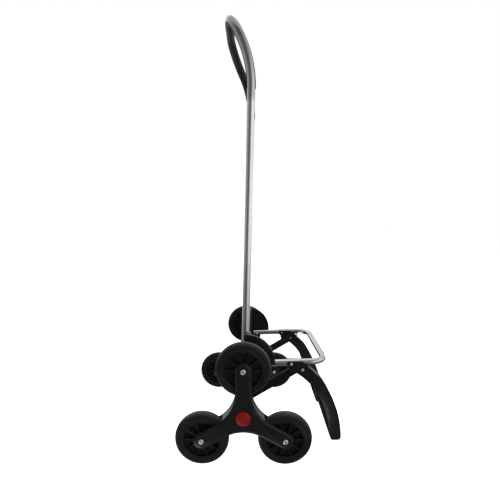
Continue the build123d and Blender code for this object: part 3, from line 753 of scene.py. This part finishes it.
@dataclass
class HandleFrame:
    """The bent tube with its looped top and soft liner; millimetres and degrees."""

    tube_radius: float = 9.25
    wall: float = 1.5
    foot_z: float = 150.0
    half_width: float = 144.5
    half_width_z: float = 216.0
    lean: float = 1.33
    taper: float = 3.34
    bend_start_z: float = 850.5
    bend_radius: float = 241.0
    bend_angle: float = 27.0
    corner_radius: float = 70.5
    segments: int = 40
    bend_steps: int = 18
    corner_steps: int = 22
    # Painted shade on the loop: heights where it starts and where it deepens, and the share of each
    painted_shade_start: Pair = (818.0, 14.0)
    painted_shade_deep: Pair = (955.0, 60.0)
    painted_shade_shares: Pair = (0.45, 0.55)
    liner_gap: float = 0.05
    liner_thickness: float = 1.2
    liner_cover: float = 190.0
    liner_steps: int = 22
    liner_rounding: float = 0.45
    liner_sharp_rad: float = 1.0
    axle: Vector = field(default_factory=lambda: joint_place("right_star_spin"))

    def leg_point(self, z: float) -> Vector:
        """Point of the right leg's centre line at a height."""
        x = self.axle.x + (z * MM - self.axle.z) * math.tan(math.radians(self.lean))
        y = -self.half_width + (z - self.half_width_z) * math.tan(math.radians(self.taper))
        return Vector((x, y * MM, z * MM))

    def directions(self) -> tuple[Vector, Vector]:
        """Direction of the right leg, and the square direction that its bend turns to."""
        along = (self.leg_point(self.bend_start_z) - self.leg_point(self.foot_z)).normalized()
        back = Vector((-1, 0, 0))
        return along, (back - along * back.dot(along)).normalized()

    def loop(self, run: TubeRun) -> None:
        """Draw a ring round the right half of the loop, to the middle of its top bar."""
        along, back = self.directions()
        centre = self.leg_point(self.bend_start_z) + back * self.bend_radius * MM
        bend = math.radians(self.bend_angle)
        run.bend(centre, along.cross(back), bend, self.bend_steps)
        tangent = along * math.cos(bend) + back * math.sin(bend)
        end = centre - back * self.bend_radius * MM * math.cos(bend)
        end += along * self.bend_radius * MM * math.sin(bend)
        inward = (LEFTWARDS - tangent * LEFTWARDS.dot(tangent)).normalized()
        corner = end + inward * self.corner_radius * MM
        run.bend(corner, tangent.cross(inward), math.acos(LEFTWARDS.dot(tangent)), self.corner_steps)
        run.straight(Vector((0, -run.middle().y, 0)))
        run.flatten()

    def build(self, shop: Workshop) -> None:
        """Model the tube and its liner."""
        along, _ = self.directions()
        bm = bmesh.new()
        foot = self.leg_point(self.foot_z)
        for run in tube_skins(bm, foot, along, self.tube_radius * MM, self.wall * MM, self.segments):
            low = foot
            for z in (self.painted_shade_start[0], sum(self.painted_shade_start), self.bend_start_z):
                high = self.leg_point(z)
                run.straight(high - low)
                low = high
            self.loop(run)
        mirrored(bm)
        self.paint_shade(bm)
        shop.piece(bm, "bright_handle_tube", "polished", ["handle_frame_tube"])
        self.build_liner(shop)

    def paint_shade(self, bm: BMesh) -> None:
        """Paint a darker shade on the loop in place of its dimmer reflection, deepening towards its top bar."""
        layer = bm.verts.layers.float.new("painted_shade")
        zones = list(zip(self.painted_shade_shares, (self.painted_shade_start, self.painted_shade_deep)))
        for vert in bm.verts:
            vert[layer] = sum(share * ramp(vert.co.z / MM, *zone) for share, zone in zones)

    def build_liner(self, shop: Workshop) -> None:
        """Model the soft liner on the inside of the loop."""
        along, _ = self.directions()
        start = self.leg_point(self.bend_start_z)
        inward = (LEFTWARDS - along * LEFTWARDS.dot(along)).normalized()
        first = Matrix.Rotation(math.radians(-self.liner_cover / 2), 3, along) @ inward
        bm = bmesh.new()
        seat = self.tube_radius + self.liner_gap
        low = bm.verts.new(start + first * seat * MM)
        high = bm.verts.new(start + first * (seat + self.liner_thickness) * MM)
        edge = bm.edges.new((low, high))
        bmesh.ops.spin(
            bm, geom=[low, high, edge], cent=start, axis=along, angle=math.radians(self.liner_cover),
            steps=self.liner_steps, use_merge=False,
        )
        ring = [e for e in bm.edges if e.is_boundary]
        bmesh.ops.delete(bm, geom=bm.faces[:], context="FACES_KEEP_BOUNDARY")
        run = TubeRun(bm, [e for e in ring if e.is_valid])
        cap = list(run.edges)
        self.loop(run)
        bmesh.ops.contextual_create(bm, geom=cap)
        mirrored(bm)
        rounded(bm, sharp_edges(bm, self.liner_sharp_rad), self.liner_rounding * MM, segments=3)
        shop.piece(bm, "soft_handle_liner", "grip", ["handle_grip"])


@dataclass
class Platform:
    """The U-bent platform tube; millimetres and degrees."""

    tube_radius: float = 8.0
    wall: float = 1.3
    half_width: float = 144.5
    tilt: float = 2.06
    length: float = 163.4
    tail: float = 10.0
    corner: float = 38.0
    segments: int = 36
    corner_steps: int = 20
    hinge: Vector = field(default_factory=lambda: joint_place("platform_fold"))

    def build(self, shop: Workshop) -> None:
        """Model the tube."""
        tilt = math.radians(self.tilt)
        along = Vector((math.cos(tilt), 0, math.sin(tilt)))
        up = Vector((-math.sin(tilt), 0, math.cos(tilt)))
        tail = self.hinge - along * self.tail * MM - Vector((0, self.half_width * MM, 0))
        reach = self.length + self.tail - self.corner
        centre = tail + along * reach * MM + Vector((0, self.corner * MM, 0))
        bm = bmesh.new()
        for run in tube_skins(bm, tail, along, self.tube_radius * MM, self.wall * MM, self.segments):
            run.straight(along * reach * MM)
            run.bend(centre, up, math.pi / 2, self.corner_steps)
            run.straight(Vector((0, (self.half_width - self.corner) * MM, 0)))
            run.flatten()
        mirrored(bm)
        shop.piece(bm, "satin_platform_tube", "satin", ["platform_tube"])


@dataclass
class Wheel:
    """One tyre and its spoked rim; millimetres."""

    side: Side
    place: Place
    radius: float = 62.5
    half_width: float = 14.0
    seat: float = 47.0
    # Distance out from the seat, and inset from the side face
    sidewall: tuple[Pair, ...] = (
        (0.0, 2.0), (1.3, 0.7), (2.2, 0.15), (3.0, 0.15), (3.3, 0.75), (4.1, 0.75), (4.4, 0.1), (6.2, 0.05),
        (6.5, 0.5), (7.1, 0.5), (7.4, 0.1),
    )
    # Drop below the tread, and inset from the side face
    tread: tuple[Pair, ...] = (
        (6.0, 0.3), (4.3, 1.0), (2.9, 2.2), (1.9, 3.8), (1.2, 6.0), (2.1, 6.5), (2.0, 7.3), (0.7, 7.8),
        (0.1, 11.0), (0.02, 13.0),
    )
    segments: int = 120
    notch_zone: Pair = (4.4, 1.4)
    notch_side: float = 6.0
    notch_margin: float = 0.35
    notch_depth: float = 0.8
    tread_start: float = 4.0
    tread_fade: float = 3.5
    rim_segments: int = 90
    spokes: int = 10
    spoke_width: float = 3.2
    spoke_half_depth: float = 10.0
    spoke_root: float = 1.0
    spoke_taper: float = 0.72
    spoke_rounding: float = 0.7
    hub_radius: float = 12.5
    bore_radius: float = 5.55
    hub_half: float = 14.5
    rim_half: float = 12.0
    rim_inner: float = 42.0

    @property
    def name(self) -> str:
        """Start of this wheel's node names."""
        return self.side.node(self.place.value)

    def tyre_profile(self) -> list[Pair]:
        """Half of the tyre's section, from the bead to the middle of the tread."""
        side = [(self.seat + out, self.half_width - inset) for out, inset in self.sidewall]
        return side + [(self.radius - drop, self.half_width - inset) for drop, inset in self.tread]

    def build_tyre(self, shop: Workshop) -> None:
        """Model the tyre with a bead ring, two tread grooves and notched shoulders."""
        centre = joint_place(f"{self.name}_wheel_spin")
        half = self.tyre_profile()
        profile = [(self.seat, 0.0)] + half + [(r, -y) for r, y in reversed(half)]
        bm = bmesh.new()
        spun(bm, profile, centre, self.segments, True)
        tidy(bm)
        low, high = (self.radius - depth for depth in self.notch_zone)
        shoulder = []
        for face in bm.faces:
            middle = face.calc_center_median() - centre
            reach = math.hypot(middle.x, middle.z) / MM
            turn = math.atan2(middle.z, middle.x) / math.tau * self.segments
            outside = abs(middle.y) / MM > self.half_width - self.notch_side
            if low < reach < high and outside and math.floor(turn) % 2 == 0:
                shoulder.append(face)
        margin, depth = self.notch_margin * MM, -self.notch_depth * MM
        bmesh.ops.inset_individual(bm, faces=shoulder, thickness=margin, depth=depth, use_even_offset=True)
        layer = bm.verts.layers.float.new("tread")
        for vert in bm.verts:
            flat = vert.co - centre
            reach = math.hypot(flat.x, flat.z) / MM
            vert[layer] = ramp(reach, self.radius - self.tread_start, self.tread_fade)
        shop.piece(bm, f"{self.name}_treaded_tyre", "rubber", [f"{self.name}_tyre"], smooth_deg=40.0)

    def build_rim(self, shop: Workshop) -> None:
        """Model the rim with its hub, web and tapered spokes."""
        centre = joint_place(f"{self.name}_wheel_spin")
        bore, hub, rim, seat = self.bore_radius, self.hub_radius, self.rim_inner, self.seat
        face, lip = self.hub_half, self.rim_half
        half = [
            (bore, face - 0.6), (bore + 0.6, face),
            (hub - 1.2, face), (hub - 0.3, face - 0.35), (hub, face - 1.2),
            (hub, 4.0), (hub + 0.5, 2.9), (hub + 1.5, 2.5), (rim - 1.5, 2.5), (rim - 0.5, 2.9), (rim, 4.0),
            (rim, lip - 1.0), (rim + 0.3, lip - 0.3), (rim + 1.0, lip),
            (seat - 0.9, lip), (seat - 0.25, lip - 0.25), (seat, lip - 0.9),
        ]
        bm = bmesh.new()
        spun(bm, half + [(r, -y) for r, y in reversed(half)], centre, self.rim_segments, True)
        tidy(bm)
        for turn in range(self.spokes):
            turned = Matrix.Rotation(math.tau * turn / self.spokes, 4, "Y")
            self.build_spoke(bm, Matrix.Translation(centre) @ turned)
        shop.piece(bm, f"{self.name}_spoked_rim", "wheel_plastic", [f"{self.name}_rim"])

    def build_spoke(self, bm: BMesh, place: Matrix) -> None:
        """Model one spoke along X that thins towards its two faces, and move it to its place."""
        inner = self.hub_radius - self.spoke_root
        outer = self.rim_inner + self.spoke_root
        spoke = bmesh.new()
        length = (outer - inner) * MM
        size = Matrix.Diagonal((length, 2 * self.spoke_half_depth * MM, self.spoke_width * MM, 1))
        bmesh.ops.create_cube(spoke, size=1.0, matrix=size)
        across = [e for e in spoke.edges if abs(e.verts[0].co.y - e.verts[1].co.y) > SPECK]
        bmesh.ops.subdivide_edges(spoke, edges=across, cuts=1)
        tips = [v for v in spoke.verts if abs(v.co.y) > SPECK]
        bmesh.ops.scale(spoke, verts=tips, vec=(1.0, 1.0, self.spoke_taper))
        ridge = [e for e in spoke.edges if all(abs(v.co.y) > SPECK for v in e.verts)]
        ridge = [e for e in ridge if abs(e.verts[0].co.x - e.verts[1].co.x) > SPECK]
        rounded(spoke, ridge, self.spoke_rounding * MM, segments=2)
        bmesh.ops.translate(spoke, verts=spoke.verts, vec=((inner + outer) / 2 * MM, 0, 0))
        bmesh.ops.transform(spoke, matrix=place, verts=spoke.verts)
        merge(bm, spoke)

    def build(self, shop: Workshop) -> None:
        """Model the tyre and the rim."""
        self.build_tyre(shop)
        self.build_rim(shop)


@dataclass
class WheelStar:
    """The moulded star that carries three wheels, with its cap, bolts and nuts; millimetres."""

    side: Side
    outer_y: float = 234.5
    inner_y: float = 195.5
    bolt_radius: float = 3.0
    head_radius: float = 5.8
    head_height: float = 3.1
    nut_across: float = 10.0
    nut_height: float = 5.0
    # Share of the height and scale of each step, from the base up
    nut_steps: tuple[Pair, ...] = ((0.62, 1.0), (0.08, 0.9), (0.0, 0.92), (0.24, 0.97), (0.06, 0.9))
    thread_pitch: float = 1.0
    tail: float = 1.5
    cap_radius: float = 17.0
    cap_height: float = 4.0
    cap_dome: float = 1.6
    # Inset from the edge, and rise above the face
    cap_rim: tuple[Pair, ...] = ((0.0, -0.7), (0.3, -0.2), (1.0, 0.0), (1.9, 0.05), (2.3, -0.3), (2.8, 0.15))
    cap_shares: tuple[float, ...] = (0.72, 0.6, 0.45, 0.3, 0.15, 0.02)
    cap_segments: int = 64
    plate_rounding: float = 0.5

    def wheel_centres(self) -> list[Vector]:
        """Middles of this star's wheels."""
        return [joint_place(self.side.node(f"{place.value}_wheel_spin")) for place in Place]

    def at(self, centre: Vector, y: float) -> Vector:
        """Point on a line parallel to Y, at a distance from the trolley's middle on this side."""
        return Vector((centre.x, self.side.sign * y * MM, centre.z))

    def build_bolts(self, shop: Workshop) -> None:
        """Model the bolts with cross-recess heads, and their nuts."""
        node, outward = self.side.node, self.side.outward
        bolts = bmesh.new()
        nuts = bmesh.new()
        for centre in self.wheel_centres():
            outer, inner = self.at(centre, self.outer_y), self.at(centre, self.inner_y)
            radius = self.bolt_radius * MM
            pan_head(bolts, outer, outward, self.head_radius * MM, self.head_height * MM)
            shank = ring_at(bolts, outer, -outward, radius, SHANK_SEGMENTS, True)
            shank.straight(-outward * (self.outer_y - self.inner_y) * MM)
            length = (self.nut_height + self.tail) * MM
            threaded(bolts, inner, -outward, radius, length, self.thread_pitch * MM)
            self.build_nut(nuts, inner, -outward)
        tidy(bolts)
        shop.piece(bolts, node("recessed_bolts"), "zinc", [node("wheel_bolts")])
        shop.piece(nuts, node("lock_nuts"), "zinc", [node("wheel_nuts")], smooth_deg=30.0)

    def build_nut(self, bm: BMesh, base: Vector, outward: Vector) -> None:
        """Model a chamfered hexagon nut with a collar and an open bore."""
        nut = bmesh.new()
        corner = self.nut_across / 2 / math.cos(math.pi / 6) * MM
        height = self.nut_height * MM
        ring = ring_at(nut, Vector(), UPWARDS, corner, 6)
        for rise, share in self.nut_steps:
            ring.straight(Vector((0, 0, height * rise)), share)
        collar = corner * math.prod(share for _, share in self.nut_steps)
        ring.straight(Vector(), self.bolt_radius * MM / collar)
        ring.straight(Vector((0, 0, -height)))
        ring.straight(Vector(), corner / (self.bolt_radius * MM))
        tidy(nut)
        bmesh.ops.transform(nut, matrix=facing(base, outward), verts=nut.verts)
        merge(bm, nut)

    def build_cap(self, shop: Workshop) -> None:
        """Model the domed hub cap with a fine rim."""
        centre = joint_place(self.side.node("star_spin"))
        face = self.outer_y + self.cap_height - self.cap_dome
        edge = self.cap_radius
        rings = [(edge, self.outer_y)] + [(edge - inset, face + rise) for inset, rise in self.cap_rim]
        rings += [(edge * share, face + self.cap_dome * (1 - share**2)) for share in self.cap_shares]
        bm = bmesh.new()
        flat = Vector((centre.x, 0, centre.z))
        spun(bm, [(r, self.side.sign * y) for r, y in rings], flat, self.cap_segments, False)
        bmesh.ops.holes_fill(bm, edges=bm.edges, sides=self.cap_segments)
        tidy(bm)
        shop.piece(bm, self.side.node("domed_cap"), "cap", [self.side.node("hub_cap")])

    def build(self, shop: Workshop) -> None:
        """Model the star and what is fixed to it."""
        for half in ("star_outer_plate", "star_inner_plate"):
            node = self.side.node(half)
            moulding = shop.softened(node, self.plate_rounding * MM)
            shop.piece(moulding, f"{node}_moulding", "plastic", [node], smooth_deg=15.0)
        self.build_bolts(shop)
        self.build_cap(shop)
        shop.dress(self.side.node("wheel_sleeves"), "zinc")


@dataclass
class FoldingSide:
    """The bracket, leg, strut and pins of one side; millimetres."""

    side: Side
    head_radius: float = 3.4
    head_height: float = 2.4
    shank_radius: float = 2.0
    nut_height: float = 3.0
    # Length and scale of each step from the nut's base to the bolt's tip
    nut_steps: tuple[Pair, ...] = ((0.0, 2.0), (1.8, 1.0), (0.5, 0.82), (0.0, 0.55), (0.55, 1.0), (0.15, 0.8))
    black_band: Pair = (0.6, 3.1)
    roundings: tuple[tuple[str, float], ...] = (
        ("side_bracket", 0.9), ("support_leg", 1.1), ("fold_strut", 0.7),
    )

    def build_pivots(self, shop: Workshop) -> None:
        """Model the pivot bolts with bright recessed heads and tips, and blackened round nuts."""
        node, outward = self.side.node, self.side.outward
        for name in ("leg_pivot_bolt", "strut_pivot_bolt"):
            low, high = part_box(node(name))
            middle = (low + high) / 2
            outer = max(abs(low.y), abs(high.y))
            inner = min(abs(low.y), abs(high.y))
            base = Vector((middle.x, self.side.sign * (outer - self.head_height * MM), middle.z))
            bm = bmesh.new()
            pan_head(bm, base, outward, self.head_radius * MM, self.head_height * MM)
            end = Vector((middle.x, self.side.sign * inner, middle.z))
            shank = ring_at(bm, base, -outward, self.shank_radius * MM, SHANK_SEGMENTS, True)
            shank.straight(end - base + outward * self.nut_height * MM)
            for length, share in self.nut_steps:
                shank.straight(-outward * length * MM, share)
            bmesh.ops.contextual_create(bm, geom=shank.edges)
            tidy(bm)
            layer = bm.verts.layers.float.new("blackened")
            first, last = (inner + edge * MM for edge in self.black_band)
            for vert in bm.verts:
                vert[layer] = float(first < abs(vert.co.y) < last)
            shop.piece(bm, node(f"recessed_{name}"), "zinc", [node(name)])

    def build(self, shop: Workshop) -> None:
        """Model the side's mouldings and fasteners."""
        for name, radius in self.roundings:
            node = self.side.node(name)
            moulding = shop.softened(node, radius * MM)
            shop.piece(moulding, f"{node}_moulding", "plastic", [node], smooth_deg=20.0)
        self.build_pivots(shop)
        for name in ("frame_screw", "hinge_pin", "axle_retainer"):
            shop.dress(self.side.node(name), "zinc")
        shop.dress(self.side.node("axle_spacer"), "plastic")


@dataclass(frozen=True)
class SoftBox:
    """One soft light of the studio; metres and watts."""

    name: str
    place: Triple
    width: float
    height: float
    power: float


@dataclass
class Studio:
    """Floor, lights and the camera at the photograph's view; metres and degrees."""

    camera_place: Triple = (-0.02605, -0.9819, 0.5199)
    pitch: float = 9.37
    yaw: float = 0.35
    lens: float = 25.83
    sensor: float = 36.0
    shift_y: float = 0.0926
    target: Triple = (0.0, 0.0, 0.45)
    surround: float = 0.93
    fill: float = 0.155
    window: float = 0.95
    wall: float = 0.34
    backlight: float = 0.4
    flanks: float = 1.6
    ceiling: float = 0.8
    ground: float = 3.0
    cool: Colour = (0.955, 0.99, 1.035)
    warm: Colour = (1.03, 0.99, 0.965)
    ground_tone: Colour = (1.04, 1.0, 0.93)
    floor_size: float = 12.0
    floor_gap: float = 0.0005
    floor_grey: float = 0.9
    overhead: SoftBox = SoftBox("overhead_box", place=(0.3, 0.3, 2.6), width=1.2, height=1.2, power=12.0)

    def build_camera(self) -> None:
        """Place the camera."""
        data = bpy.data.cameras.new("photo_view")
        data.lens = self.lens
        data.sensor_width = self.sensor
        data.shift_y = self.shift_y
        camera = placed("photo_view", data)
        camera.location = self.camera_place
        camera.rotation_euler = (math.radians(90 - self.pitch), 0, math.radians(self.yaw))
        bpy.context.scene.camera = camera

    def build_floor(self) -> None:
        """Lay a plain pale floor, out of the reflections and below the reach of a turning star."""
        low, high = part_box("axle")
        hub = (low.z + high.z) / 2
        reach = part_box("right_upper_tyre")[1].z - hub
        bm = bmesh.new()
        bmesh.ops.create_grid(bm, x_segments=1, y_segments=1, size=self.floor_size)
        mesh = bpy.data.meshes.new("pale_floor")
        bm.to_mesh(mesh)
        bm.free()
        graph = Graph("pale_floor")
        graph.set(
            Base_Color=(self.floor_grey,) * 3, Roughness=0.9, Specular_IOR_Level=0.0,
            Emission_Color=(1.0, 1.0, 1.0), Emission_Strength=self.surround,
        )
        mesh.materials.append(graph.material)
        floor = placed("pale_floor", mesh)
        floor.location.z = hub - reach - self.floor_gap
        floor.visible_diffuse = False
        floor.visible_glossy = False

    def build_light(self, box: SoftBox) -> None:
        """Place one soft box that shines at the trolley's middle."""
        data = bpy.data.lights.new(box.name, "AREA")
        data.shape = "RECTANGLE"
        data.size = box.width
        data.size_y = box.height
        data.energy = box.power
        light = placed(box.name, data)
        light.location = box.place
        light.visible_glossy = False
        aim = Vector(self.target) - Vector(box.place)
        light.rotation_euler = aim.to_track_quat("-Z", "Y").to_euler()

    def build_world(self) -> None:
        """Surround the scene with soft light, and show the camera plain white.

        A window stands on the right and a wall on the left. Light also comes from behind, from both
        flanks of the back, from above, and from below on the left.
        """
        surround = Surround("white_room")
        x, y, z = surround.direction()
        right = (x * 0.94 - y * 0.34).above(0.3, 0.9) * (1.0 - z.above(0.45, 0.85))
        left = (y * 0.6 - x * 0.8).above(-0.2, 1.0)
        back = y.above(0.6, 0.95) * (1.0 - z.above(0.1, 0.4)) * (1.0 - x.above(0.3, 0.65) * 0.6)
        flank = x.math("ABSOLUTE").above(0.32, 0.5) * y.above(0.5, 0.85) * (1.0 - z.above(0.15, 0.4))
        sides = right * self.window + left * self.wall + back * self.backlight
        sides = sides + flank * self.flanks + self.fill
        level = z.above(-0.3, 0.12) * 0.72 + 0.28
        below = (z * -1.0).above(0.5, 0.82) * ((x * -1.0).above(0.08, 0.4) * 0.94 + 0.06)
        top = (z * 0.88 + y * 0.4).above(0.4, 0.9)
        light = sides * level + top * self.ceiling + below * self.ground
        tone = z.above(0.1, 0.45).mix(self.cool, self.warm)
        surround.set(Color=below.mix(tone, self.ground_tone), Strength=light)
        surround.backdrop((1.0, 1.0, 1.0))
        bpy.context.scene.world = surround.world

    def build(self) -> None:
        """Set the studio up."""
        bpy.context.scene.view_settings.view_transform = "Standard"
        self.build_camera()
        self.build_floor()
        self.build_world()
        self.build_light(self.overhead)


def main() -> None:
    """Build the studio and dress the trolley."""
    logging.basicConfig(level=logging.INFO, format="%(message)s")
    Studio().build()
    bodies = frame["record"]["behaviour"]["bodies"]
    shop = Workshop(Finishes().all(), {n: body for body, nodes in bodies.items() for n in nodes})
    HandleFrame().build(shop)
    Platform().build(shop)
    for side in Side:
        WheelStar(side).build(shop)
        for place in Place:
            Wheel(side, place).build(shop)
        FoldingSide(side).build(shop)
    shop.dress("axle", "zinc")
    shop.dress("axle_sleeve", "plastic")
    LOG.info("%d pieces made", shop.count)


if __name__ == "__main__":
    main()
